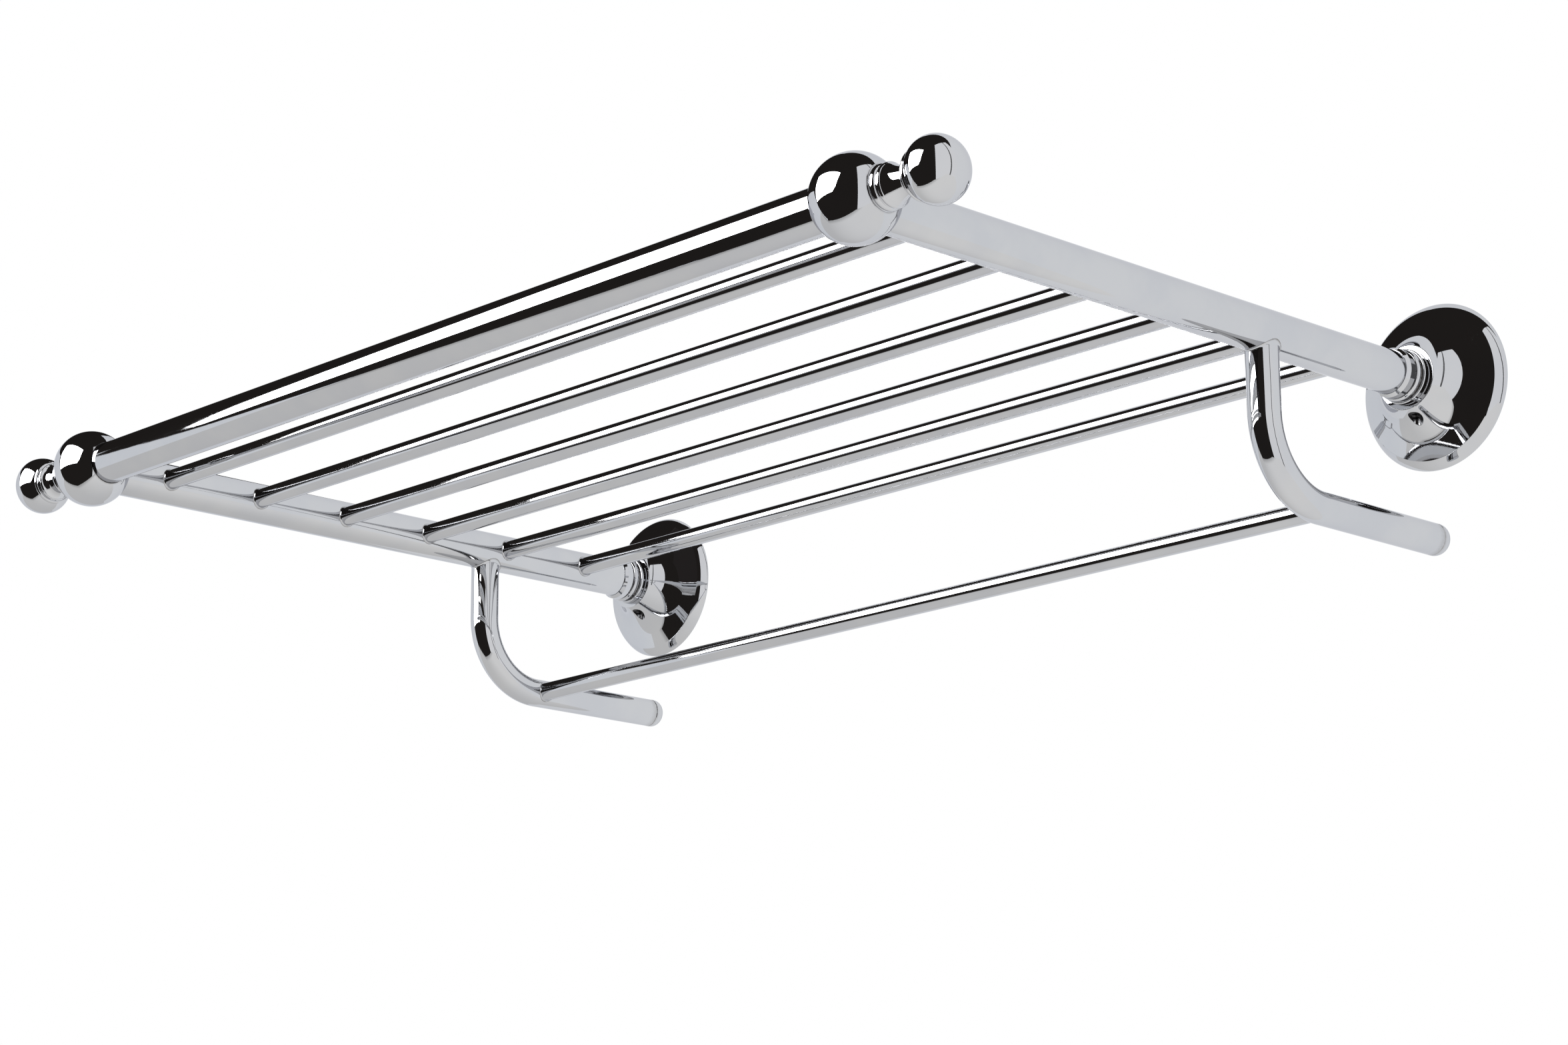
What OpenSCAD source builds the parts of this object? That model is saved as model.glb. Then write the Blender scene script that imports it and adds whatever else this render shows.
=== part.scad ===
// Wall-mounted towel shelf in chromed brass tube: two side arms on round wall
// flanges, a front rail between two corner balls with turned finials, six thin
// shelf rods, and two J-shaped hooks that carry a lower towel rail.
// Millimetres. +X runs along the rails, +Z is up, the wall is the plane y = 0
// and the rack stands out from it along -Y. The origin is on the wall, midway
// between the two flanges, at the height of the arms' axes.

/* [Overall] */
// Distance between the axes of the two arms
arm_centres = 500; // [400:10:700]
// Distance from the wall to the axis of the front rail
projection = 354; // [346:1:400]

/* [Tubes] */
// Outside diameter of the arms and of the front rail
arm_d = 19; // [18.4:0.1:19.4]
// Wall thickness of the arms, the front rail and the hooks
tube_wall = 1.2; // [1:0.1:1.5]
// Diameter of the shelf rods and of the lower rail
rod_d = 9; // [7:0.5:9.5]
// Outside diameter of the hooks
hook_d = 14; // [13:0.5:14.5]

/* [Shelf] */
// Distance between the axes of neighbouring shelf rods
rod_pitch = 51; // [46:0.5:51]
// Distance from the wall to the axis of the rearmost shelf rod
rear_rod = 61; // [58:1:62]

/* [Hooks] */
// Distance from the wall to the axis of a hook's drop
hook_out = 120; // [110:1:125]
// Depth of a hook's straight run below the arm's axis
hook_drop = 69; // [60:1:90]
// Centre-line radius of a hook's bend
hook_bend = 34; // [28:1:38]
// Gap left between a hook's domed end and the wall
hook_gap = 3; // [2:0.5:10]
// How far behind the end of the bend the lower rail joins a hook
rail_back = 2; // [0:0.5:8]

/* [Balls] */
// Diameter of a corner ball
ball_d = 35; // [34.6:0.1:36]
// Diameter of a finial ball, measured across the front rail's axis
finial_d = 26.2; // [25.8:0.1:26.6]
// Length of a finial ball along the front rail's axis, as a part of its diameter
finial_flat = 0.89; // [0.87:0.01:0.91]
// Distance from the centre of a corner ball to the centre of its finial ball
finial_reach = 41.3; // [41.1:0.1:41.7]

/* [Wall flanges] */
// Diameter of a wall flange
flange_d = 73.8; // [73:0.1:74.4]
// Distance from the wall to the front of a flange's hub
hub_front = 21.6; // [21.4:0.1:22.4]
// Distance from the wall to the rear end of an arm's tube
arm_start = 34; // [33.4:0.1:36]
// Distance between the two screw holes of one wall plate
plate_holes = 44; // [42:0.5:46]
// Diameter of the wall plate's screw holes
plate_hole_d = 4.5; // [4:0.1:5]

/* [Fits] */
// Radial gap left for solder or thread between pieces that enter one another
gap = 0.05; // [0.03:0.01:0.1]

/* [Hidden] */
$fn = 96;
e = 0.01;
rod_count = 6;
arm_r = arm_d / 2;
arm_bore = arm_r - tube_wall;
rod_r = rod_d / 2;
rod_bore = rod_r - 1;
hook_r = hook_d / 2;
hook_bore = hook_r - tube_wall;
ball_r = ball_d / 2;
finial_r = finial_d / 2;
flange_r = flange_d / 2;
half = arm_centres / 2;
plug_r = arm_bore - gap;
plug_l = 14;
// A tube ends this far from the centre of the corner ball, so that the two
// sockets never meet.
socket = arm_r + 0.5;
stud_r = 3;
tie_in = 12;
// Turned neck between a corner ball and its finial ball. Its far end is a cup
// round the finial ball: neck_end is the cup's floor and cup_end its rim.
neck_seat = 14.9;
neck_end = 31.6;
cup_end = 33.4;
cup_out = 0.2 + finial_r * sqrt(1 - pow((finial_reach - cup_end) / (finial_flat * finial_r), 2));
// Flange: a bell of circular section that flares from the hub's edge into a
// shallow cone, then a low crest and a rounded shoulder down to the wall
hub_r = 14.3;
hub_edge = 0.5;
bell_r = 22;
bell_tilt = 72;
dish_tilt = 23;
crest_r = 1.2;
crest_tilt = 42;
shoulder_r = 12.4;
shoulder_tilt = 66;
bell_top = hub_front - hub_edge * (1 - cos(bell_tilt));
boss_r = 11;
boss_front = 18.6;
tail_r = 8;
grub_r = 3;
grub_out = 16;
drop_y = -hook_out;
run_z = -hook_drop;
bend_y = -hook_out + hook_bend;
low_y = bend_y + rail_back;
dome = 4.4;
plug_seat = -hook_gap - dome - 1.6;

// Distance from the wall, and radius, where the bell's outside leans at t
// degrees from the wall
function bell_u(t) = bell_top - bell_r * (cos(t) - cos(bell_tilt));
function bell_out(t) = hub_r + bell_r * (sin(bell_tilt) - sin(t));
// Radius of the hub's outside over the grub screw
grub_face = bell_out(acos(cos(bell_tilt) + (bell_top - grub_out) / bell_r));
crest_in = flange_r - 3.55;
crest_u = bell_u(dish_tilt) - tan(dish_tilt) * (crest_in - bell_out(dish_tilt));
crest_out = crest_in + crest_r * (sin(crest_tilt) - sin(dish_tilt));
shoulder_u = crest_u - crest_r * (cos(dish_tilt) - cos(crest_tilt));

function rod_y(i) = -(rear_rod + (rod_count - 1 - i) * rod_pitch);

// Straight round bars along each axis, from one coordinate to another
module bar_x(r, x0, x1, y = 0, z = 0) translate([x0, y, z]) rotate([0, 90, 0]) cylinder(r = r, h = x1 - x0);
module bar_y(r, y0, y1, x = 0, z = 0) translate([x, y0, z]) rotate([-90, 0, 0]) cylinder(r = r, h = y1 - y0);
module bar_z(r, z0, z1, x = 0, y = 0) translate([x, y, z0]) cylinder(r = r, h = z1 - z0);

// Puts a right-hand piece on the side s: 1 is right, -1 is left
module side(s) if (s > 0) children(); else mirror([1, 0, 0]) children();

// A turned profile [radius, distance] spun about the arm's axis, with the
// distance measured out from the wall
module turned_y(profile) translate([half, 0, 0]) rotate([90, 0, 0]) rotate_extrude() polygon(profile);

// A turned profile [radius, distance] spun about the front rail's axis, with
// the distance measured outwards from the corner ball's centre
module turned_x(profile) translate([half, -projection, 0]) rotate([0, 90, 0]) rotate_extrude() polygon(profile);

// ---- Side arms -------------------------------------------------------------

// A drawn tube from the ferrule at the wall to the corner ball. Six drilled
// holes in its inner side take the ends of the shelf rods.
module arm(s) color("silver") side(s) difference() {
  bar_y(arm_r, -projection + socket, -arm_start, half);
  bar_y(arm_bore, -projection + socket - 1, -arm_start + 1, half);
  for (i = [0 : rod_count - 1]) bar_x(rod_r + gap, half - arm_r - 1, half - 4, rod_y(i));
}

// Threaded plug soldered into the front end of an arm
module arm_insert(s) color("goldenrod") side(s) difference() {
  bar_y(plug_r, -projection + socket, -projection + socket + plug_l, half);
  bar_y(stud_r + gap, -projection + socket - 1, -projection + socket + plug_l + 1, half);
}

// Stud that draws the corner ball onto the front end of the arm. It stops
// short of the tie rod that crosses the ball.
module arm_stud(s) color("lightgray") side(s)
  bar_y(stud_r, -projection + 4.5, -projection + socket + 11, half);

// ---- Front rail ------------------------------------------------------------

module front_rail() color("silver") difference() {
  bar_x(arm_r, -half + socket, half - socket, -projection);
  bar_x(arm_bore, -half + socket - 1, half - socket + 1, -projection);
}

// Threaded plug soldered into one end of the front rail
module rail_insert(s) color("goldenrod") side(s) difference() {
  bar_x(plug_r, half - socket - plug_l, half - socket, -projection);
  bar_x(stud_r + gap, half - socket - plug_l - 1, half - socket + 1, -projection);
}

// ---- Corner balls and finials ----------------------------------------------

// Solid ball, bored for the arm and the rail, drilled right through for the
// tie rod, tapped for the arm's stud and faced flat where the neck seats
module corner_ball(s) color("silver") side(s) difference() {
  translate([half, -projection, 0]) rotate([0, 90, 0]) sphere(r = ball_r);
  bar_x(arm_r + gap, half - ball_r - 1, half - socket, -projection);
  bar_y(arm_r + gap, -projection + socket, -projection + ball_r + 1, half);
  bar_x(stud_r + gap, half - socket - 1, half + ball_r + 1, -projection);
  bar_y(stud_r + gap, -projection + 4.2, -projection + socket + 1, half);
  translate([half + neck_seat, -projection - 20, -20]) cube([10, 40, 40]);
}

// A finial ball's body, larger all round by grow and faced flat on the neck
module finial_body(grow = 0) difference() {
  turned_x([for (a = [-90 : 5 : 90]) [(finial_r + grow) * cos(a), finial_reach + (finial_flat * finial_r + grow) * sin(a)]]);
  translate([half + neck_end - 10, -projection - 15, -15]) cube([10, 30, 30]);
}

// Turned neck: two beads beside the ball, a waisted body that flares to a
// narrow ring, and a round-edged cup that the finial ball sits in
module finial_neck(s) color("silver") side(s) difference() {
  turned_x(concat(
    [[0, neck_seat], [8.7, neck_seat]],
    [for (a = [-60 : 30 : 60]) [8.15 + 0.9 * cos(a), 16.5 + 1.4 * sin(a)]],
    [[8.1, 18.1]],
    [for (a = [-60 : 30 : 60]) [8 + 0.75 * cos(a), 19.5 + 1.0 * sin(a)]],
    [[8.15, 20.7], [7.5, 21.8], [6.9, 22.9], [6.35, 24.2], [5.95, 25.5], [5.7, 26.8], [5.65, 27.8]],
    [[5.85, 28.6], [6.3, 29.3], [6.95, 29.9], [7.75, 30.4], [8.35, 30.6], [8.75, 30.85], [8.75, 31.15], [8.4, 31.4], [8.4, 31.6]],
    [for (a = [-75 : 15 : 30]) [cup_out - 0.86 + 1.05 * cos(a), cup_end - 0.6 + 1.05 * sin(a)]],
    [[cup_out, cup_end], [0, cup_end]]
  ));
  finial_body(gap);
  bar_x(stud_r + gap, half + neck_seat - 1, half + neck_end + 1, -projection);
}

// Small ball at the very end, a little flattened along the rail's axis and
// blind-drilled
module finial_ball(s) color("silver") side(s) difference() {
  finial_body();
  bar_x(stud_r + gap, half + neck_end - 1, half + finial_reach + 1, -projection);
}

// Threaded rod through the corner ball and the neck: it clamps the rail, the
// corner ball, the neck and the finial ball in one line
module finial_tie_rod(s) color("lightgray") side(s)
  bar_x(stud_r, half - socket - tie_in, half + finial_reach, -projection);

// ---- Shelf rods ------------------------------------------------------------

// A thin tube whose ends stand at -x_end and x_end
module rod(x_end, y, z) difference() {
  bar_x(rod_r, -x_end, x_end, y, z);
  bar_x(rod_bore, -x_end - 1, x_end + 1, y, z);
}

// Rods reach just through the inner wall of each arm, where they are soldered
module shelf_rod(i) color("silver")
  rod(half - sqrt(arm_bore * arm_bore - rod_r * rod_r) + 0.2, rod_y(i), 0);

// ---- Hooks and lower rail --------------------------------------------------

// The path of a hook as a bar of radius r: a drop below the arm, a quarter
// bend towards the wall and a straight run that stops at y = y_end
module hook_path(r, z_top, y_end) {
  bar_z(r, run_z + hook_bend, z_top, half, drop_y);
  translate([half, bend_y, run_z + hook_bend]) rotate([0, 90, 0]) rotate([0, 0, -90])
    rotate_extrude(angle = 90) translate([hook_bend, 0]) circle(r = r);
  bar_y(r, bend_y, y_end, half, run_z);
}

// Bent tube, its top cut to the curve of the arm it is soldered under, with a
// drilled hole in its inner side for the lower rail
module hook(s) color("silver") side(s) difference() {
  hook_path(hook_r, -1, plug_seat);
  hook_path(hook_bore, 1, plug_seat + 1);
  bar_y(arm_r + 0.02, drop_y - 20, drop_y + 20, half);
  bar_x(rod_r + gap, half - hook_r - 1, half - 3, low_y, run_z);
}

// Domed plug that closes the free end of a hook
module hook_end_cap(s) color("silver") side(s)
  translate([half, 0, run_z]) rotate([90, 0, 0]) rotate_extrude() polygon(concat(
    [[0, hook_gap]],
    [for (a = [80 : -10 : 0]) [hook_r - 3.4 + 3.4 * cos(a), hook_gap + dome * (1 - sin(a))]],
    [[hook_r, -plug_seat], [hook_bore - gap, -plug_seat], [hook_bore - gap, -plug_seat + 9], [hook_bore - 1, -plug_seat + 10], [0, -plug_seat + 10]]
  ));

// Towel rail between the hooks, soldered through their inner walls
module lower_rail() color("silver")
  rod(half - sqrt(hook_bore * hook_bore - rod_r * rod_r) + 0.2, low_y, run_z);

// ---- Wall ends of the arms -------------------------------------------------

// Turned ferrule with stepped rings. Its front spigot is soldered into the
// arm and its threaded tail screws into the flange's hub.
module arm_ferrule(s) color("silver") side(s) turned_y([
  [0, hub_front - 2.4], [tail_r, hub_front - 2.4], [tail_r, hub_front],
  [11.7, hub_front], [12, hub_front + 0.4], [12, hub_front + 2.4], [11.5, hub_front + 2.9],
  [10.5, hub_front + 3.1], [10.5, hub_front + 3.8],
  [11, hub_front + 4.1], [11.4, hub_front + 4.9], [11.4, hub_front + 5.7], [11, hub_front + 6.5],
  [10.3, hub_front + 6.8], [10.3, hub_front + 7.5],
  [10.8, hub_front + 7.9], [10.8, arm_start - 1.6], [10, arm_start - 0.4], [9.6, arm_start],
  [plug_r, arm_start], [plug_r, arm_start + 11], [plug_r - 1, arm_start + 12], [0, arm_start + 12]
]);

// Cast bell: a rounded shoulder against the wall, a shallow cone and a flare
// up to the hub's flat front. It is open behind, so it slips over the wall
// plate and covers it. The hub has a socket for the plate's boss and a tapped
// cross hole underneath.
module wall_flange(s) color("silver") side(s) difference() {
  turned_y(concat(
    [[0, 0], [flange_r, 0], [flange_r, 0.3]],
    [for (t = [shoulder_tilt : -3 : crest_tilt]) [crest_out + shoulder_r * (sin(t) - sin(crest_tilt)), shoulder_u - shoulder_r * (cos(crest_tilt) - cos(t))]],
    [for (t = [36 : -6 : 30]) [crest_in + crest_r * (sin(t) - sin(dish_tilt)), crest_u - crest_r * (cos(dish_tilt) - cos(t))]],
    [[crest_in, crest_u]],
    [for (t = [dish_tilt : 3.5 : bell_tilt]) [bell_out(t), bell_u(t)]],
    [for (t = [54, 36, 18]) [hub_r - hub_edge * (sin(bell_tilt) - sin(t)), hub_front - hub_edge * (1 - cos(t))]],
    [[hub_r - hub_edge, hub_front], [0, hub_front]]
  ));
  // hollow behind the dish
  turned_y(concat(
    [[0, -1], [flange_r - 3, -1], [flange_r - 3, 0.8], [flange_r - 5.4, 2.9]],
    [for (t = [dish_tilt : 6 : 53]) [bell_out(t) - 1.6, bell_u(t) - 2.4]],
    [[boss_r + gap, bell_u(53) - 2], [0, bell_u(53) - 2]]
  ));
  // socket for the boss of the wall plate
  bar_y(boss_r + gap, -boss_front - 0.15, -9, half);
  // tapped hole for the ferrule's tail
  bar_y(tail_r + gap, -hub_front - 1, -boss_front, half);
  // cross hole for the grub screw
  bar_z(grub_r + gap, -grub_face - 8, -boss_r + 1, half, -grub_out);
}

// Steel disc screwed to the wall, with a grooved boss for the grub screw and
// two countersunk screw holes one above the other
module wall_plate(s) color("lightgray") side(s) difference() {
  turned_y([
    [0, 0], [31, 0], [31, 2], [30.4, 2.6], [boss_r, 2.6],
    [boss_r, grub_out - 2.2], [boss_r - 1.3, grub_out - 0.9], [boss_r - 1.3, grub_out + 0.9],
    [boss_r, grub_out + 2.2], [boss_r - 0.3, boss_front], [0, boss_front]
  ]);
  for (z = [-plate_holes / 2, plate_holes / 2]) {
    bar_y(plate_hole_d / 2, -4, 1, half, z);
    translate([half, -2.6 - e, z]) rotate([-90, 0, 0]) cylinder(r1 = plate_hole_d / 2 + 1.4, r2 = plate_hole_d / 2, h = 1.4);
  }
}

// Hexagon-socket grub screws, one under each hub
module flange_grub_screws() color("dimgray") for (s = [-1, 1]) side(s) difference() {
  union() {
    bar_z(grub_r, -grub_face + 1.6, -boss_r - 0.9, half, -grub_out);
    // pointed end, in the boss's groove
    translate([half, -grub_out, -boss_r - 0.91]) cylinder(r1 = grub_r, r2 = 0.8, h = 1.9);
  }
  translate([half, -grub_out, -grub_face + 1.5]) cylinder(r = 1.73, h = 2.4, $fn = 6);
}

arm(-1);  // arm_left
arm(1);  // arm_right
front_rail();
corner_ball(-1);  // corner_ball_left
corner_ball(1);  // corner_ball_right
finial_neck(-1);  // finial_neck_left
finial_neck(1);  // finial_neck_right
finial_ball(-1);  // finial_ball_left
finial_ball(1);  // finial_ball_right
finial_tie_rod(-1);  // finial_tie_rod_left
finial_tie_rod(1);  // finial_tie_rod_right
rail_insert(-1);  // rail_insert_left
rail_insert(1);  // rail_insert_right
arm_insert(-1);  // arm_insert_left
arm_insert(1);  // arm_insert_right
arm_stud(-1);  // arm_stud_left
arm_stud(1);  // arm_stud_right
shelf_rod(0);  // shelf_rod_1
shelf_rod(1);  // shelf_rod_2
shelf_rod(2);  // shelf_rod_3
shelf_rod(3);  // shelf_rod_4
shelf_rod(4);  // shelf_rod_5
shelf_rod(5);  // shelf_rod_6
hook(-1);  // hook_left
hook(1);  // hook_right
hook_end_cap(-1);  // hook_end_cap_left
hook_end_cap(1);  // hook_end_cap_right
lower_rail();
arm_ferrule(-1);  // arm_ferrule_left
arm_ferrule(1);  // arm_ferrule_right
wall_flange(-1);  // wall_flange_left
wall_flange(1);  // wall_flange_right
wall_plate(-1);  // wall_plate_left
wall_plate(1);  // wall_plate_right
flange_grub_screws();
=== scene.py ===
import math

import bpy
import numpy as np
from mathutils import Matrix, Vector


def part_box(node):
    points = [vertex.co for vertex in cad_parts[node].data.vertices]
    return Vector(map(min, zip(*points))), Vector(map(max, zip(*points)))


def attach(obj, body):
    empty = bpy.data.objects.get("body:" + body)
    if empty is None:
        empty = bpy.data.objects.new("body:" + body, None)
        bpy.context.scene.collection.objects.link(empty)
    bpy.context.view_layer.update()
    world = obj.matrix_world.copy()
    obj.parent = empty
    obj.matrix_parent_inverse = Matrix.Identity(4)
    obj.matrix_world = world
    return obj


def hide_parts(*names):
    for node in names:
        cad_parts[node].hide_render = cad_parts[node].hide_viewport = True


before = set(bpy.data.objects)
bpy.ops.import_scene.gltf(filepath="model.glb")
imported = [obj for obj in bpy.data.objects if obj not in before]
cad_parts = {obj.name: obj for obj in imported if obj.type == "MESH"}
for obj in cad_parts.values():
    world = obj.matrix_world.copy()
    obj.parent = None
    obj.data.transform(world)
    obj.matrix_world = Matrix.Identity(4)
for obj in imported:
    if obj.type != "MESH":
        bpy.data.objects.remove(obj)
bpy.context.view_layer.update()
SC = bpy.context.scene
MM = 0.001
PI = math.pi
X, Y, Z = np.eye(3)


def cad(node):
    """A CAD node's lowest and highest corner, in millimetres."""
    lo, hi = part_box(node)
    return np.array(lo) / MM, np.array(hi) / MM


# ---------------------------------------------------------------- dimensions
_lo, _hi = cad("arm_right")
HALF = (_lo[0] + _hi[0]) / 2
ARM_R = (_hi[0] - _lo[0]) / 2
ARM_Y0, ARM_Y1 = _lo[1], _hi[1]            # front end (in the ball), rear end (at the ferrule)
_lo, _hi = cad("front_rail")
PROJ = -(_lo[1] + _hi[1]) / 2
RAIL_X = _hi[0]
_lo, _hi = cad("corner_ball_right")
BALL_R = (_hi[2] - _lo[2]) / 2
_lo, _hi = cad("finial_ball_right")
FIN_R = (_hi[2] - _lo[2]) / 2
FIN_U1 = _hi[0] - HALF                     # outermost point, from the corner ball's centre
FIN_U0 = _lo[0] - HALF                     # its seat on the neck
_lo, _hi = cad("finial_neck_right")
NECK_U0, NECK_U1 = _lo[0] - HALF, _hi[0] - HALF
RODS = []
for i in range(1, 7):
    _lo, _hi = cad("shelf_rod_%d" % i)
    RODS.append((_lo[1] + _hi[1]) / 2)
ROD_R = (_hi[2] - _lo[2]) / 2
_lo, _hi = cad("hook_right")
HOOK_R = (_hi[0] - _lo[0]) / 2
HOOK_Y = _lo[1] + HOOK_R
RUN_Z = _lo[2] + HOOK_R
HOOK_END = _hi[1]
_lo, _hi = cad("hook_end_cap_right")
CAP_END = _hi[1]
_lo, _hi = cad("lower_rail")
LOW_Y = (_lo[1] + _hi[1]) / 2
_lo, _hi = cad("wall_flange_right")
FL_R = (_hi[2] - _lo[2]) / 2
HUB_U = -_lo[1]
_lo, _hi = cad("arm_ferrule_right")
FER_U0, FER_U1 = -_hi[1], -_lo[1]
_lo, _hi = cad("flange_grub_screws")
GRUB_U = -(_lo[1] + _hi[1]) / 2
GRUB_R = (_hi[1] - _lo[1]) / 2
BEND = LOW_Y - 2.0 - HOOK_Y                # centre-line radius of the hook's bend
TUBE_WALL = 1.2


# -------------------------------------------------------------- mesh helpers
def make(name, verts, faces, normals, shade_and_tarnish_values):
    """A mesh object from vertices in mm, with a normal for every face corner
    and a per-vertex seam value (1 in the crevices beside a joint) that sets painted crevice shade and tarnish."""
    me = bpy.data.meshes.new(name)
    keep = sorted({i for f in faces for i in f})
    slot = {old: new for new, old in enumerate(keep)}
    shade_and_tarnish_values = np.asarray(shade_and_tarnish_values)[keep]
    me.from_pydata([tuple(v) for v in np.asarray(verts)[keep] * MM], [], [tuple(slot[i] for i in f) for f in faces])
    me.polygons.foreach_set("use_smooth", np.ones(len(me.polygons), bool))
    at = me.attributes.new("seam", "FLOAT", "POINT")
    at.data.foreach_set("value", np.asarray(shade_and_tarnish_values, np.float32))
    me.update()
    me.normals_split_custom_set([tuple(n) for n in normals])
    ob = bpy.data.objects.new(name, me)
    SC.collection.objects.link(ob)
    return ob


def unit(v):
    v = np.asarray(v, float)
    return v / np.maximum(np.linalg.norm(v, axis=-1, keepdims=True), 1e-12)


class Profile:
    """A turned outline as pieces that each carry their own normals, so that a
    flat stays flat in a reflection and an edge stays crisp."""

    def __init__(self, u, r):
        self.p = [np.array([u, r], float)]
        self.strips = []                   # (normal at start, normal at end)
        self.seam = [0.0]

    def _add(self, pts, nrm, seam=0.0):
        for k in range(len(pts) - 1):
            self.p.append(np.array(pts[k + 1], float))
            self.strips.append((nrm[k], nrm[k + 1]))
            self.seam.append(seam)

    def line(self, u, r, seam=0.0):
        a, b = self.p[-1], np.array([u, r], float)
        d = unit(b - a)
        n = np.array([-d[1], d[0]])
        self._add([a, b], [n, n], seam)
        return self

    def curve(self, pts, seam=0.0):
        """A smooth run through pts, which start at the present point."""
        pts = np.asarray(pts, float)
        d = unit(np.gradient(pts, axis=0, edge_order=2))
        self._add(pts, np.stack([-d[:, 1], d[:, 0]], 1), seam)
        return self

    def oval(self, cu, cr, au, ar, a0, a1, n=12, seam=0.0):
        """Part of an ellipse about (cu, cr): angle 0 is +u, 90 is +r."""
        t = np.radians(np.linspace(a0, a1, n + 1))
        pts = np.stack([cu + au * np.cos(t), cr + ar * np.sin(t)], 1)
        pts[0] = self.p[-1]
        nr = unit(np.stack([np.cos(t) / au, np.sin(t) / ar], 1))
        if a1 > a0:                        # the hollow side of the ellipse
            nr = -nr
        self._add(pts, nr, seam)
        return self

    def lean(self, cu, cr, rad, t0, t1, n=12, seam=0.0):
        """Part of a circle about (cu, cr) whose outward normal leans t degrees
        from the axis. A negative radius is a hollow curve."""
        t = np.radians(np.linspace(t0, t1, n + 1))
        nr = np.stack([np.cos(t), np.sin(t)], 1)
        pts = np.array([cu, cr]) + rad * nr
        pts[0] = self.p[-1]
        self._add(pts, nr, seam)
        return self

    def poly(self, pts, seam=0.0, n=6):
        """Straight runs through (u, r, rounding) with tangent arcs at the corners."""
        q = [np.array([*self.p[-1], 0.0])] + [np.array(v, float) if len(v) == 3 else np.array([*v, 0.0]) for v in pts]
        for k in range(1, len(q)):
            c, rad = q[k][:2], q[k][2]
            if rad <= 0 or k == len(q) - 1:
                self.line(*c, seam=seam)
                continue
            a, b = unit(q[k - 1][:2] - c), unit(q[k + 1][:2] - c)
            half = math.acos(np.clip(a @ b, -1, 1)) / 2
            t = rad / math.tan(half)
            self.line(*(c + a * t), seam=seam)
            o = c + unit(a + b) * (rad / math.sin(half))
            s, e_ = c + a * t - o, c + b * t - o
            ang0, ang1 = math.atan2(s[1], s[0]), math.atan2(e_[1], e_[0])
            d = (ang1 - ang0 + PI) % (2 * PI) - PI
            th = ang0 + np.linspace(0, 1, n + 1) * d
            arc = np.stack([o[0] + rad * np.cos(th), o[1] + rad * np.sin(th)], 1)
            nr = np.stack([np.cos(th), np.sin(th)], 1) * (1 if d < 0 else -1)
            arc[0] = self.p[-1]
            self._add(arc, nr, seam)
        return self


def smooth_run(knots, n):
    """Points along a rounded curve through the knots."""
    k = np.asarray(knots, float)
    d = np.concatenate([[0], np.cumsum(np.linalg.norm(np.diff(k, axis=0), axis=1))])
    m = np.gradient(k, d, axis=0, edge_order=1)
    out = []
    for t in np.linspace(0, d[-1], n):
        i = min(max(int(np.searchsorted(d, t)) - 1, 0), len(k) - 2)
        h = d[i + 1] - d[i]
        x = (t - d[i]) / h
        out.append(k[i] * (2 * x ** 3 - 3 * x ** 2 + 1) + m[i] * h * (x ** 3 - 2 * x ** 2 + x)
                   + k[i + 1] * (3 * x ** 2 - 2 * x ** 3) + m[i + 1] * h * (x ** 3 - x ** 2))
    return np.array(out)


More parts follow.
